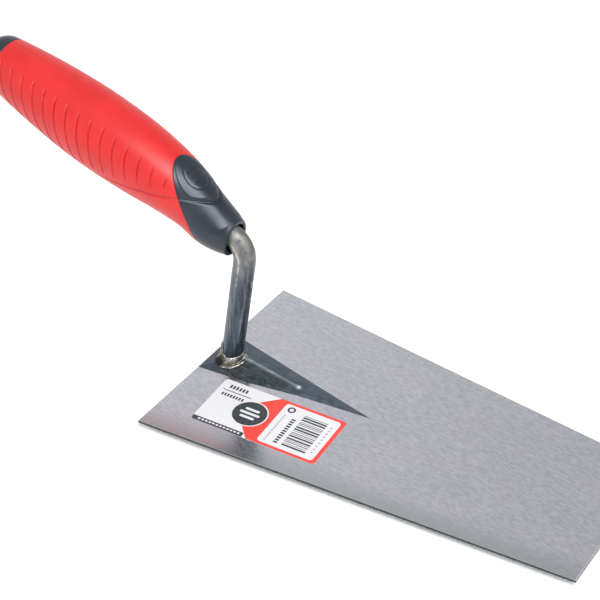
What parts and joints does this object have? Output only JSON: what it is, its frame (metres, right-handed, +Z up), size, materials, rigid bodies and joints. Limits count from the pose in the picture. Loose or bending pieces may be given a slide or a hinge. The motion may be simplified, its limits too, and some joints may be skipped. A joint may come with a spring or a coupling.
{
  "type": "brick trowel",
  "caption": "Masonry trowel with a wide-heeled flat steel blade, a bent round shank and a soft two-part grip handle.",
  "frame": {"origin": "on the flat sole of the blade, straight below the foot of the shank and 9.6 mm in from the heel edge", "axes": "+X from the heel to the toe of the blade, +Y to the left, +Z up, square to the sole"},
  "size_m": [0.319, 0.1136, 0.1305],
  "materials": {
    "blade_steel": "ground, with a fine grain along the blade and a dark forged spine",
    "forged_steel": "blue-grey forged, semi-gloss",
    "weld_steel": "rough bead with straw heat tint",
    "core_plastic": "satin moulded, fine grain",
    "grip_rubber": "soft matte moulded",
    "label_paper": "satin printed"
  },
  "bodies": {
    "root": {"blade": "blade_steel", "shank": "forged_steel", "weld_bead": "weld_steel", "handle_core": "core_plastic", "grip_sleeve": "grip_rubber", "butt_cap": "core_plastic", "label": "label_paper"}
  },
  "joints": []
}
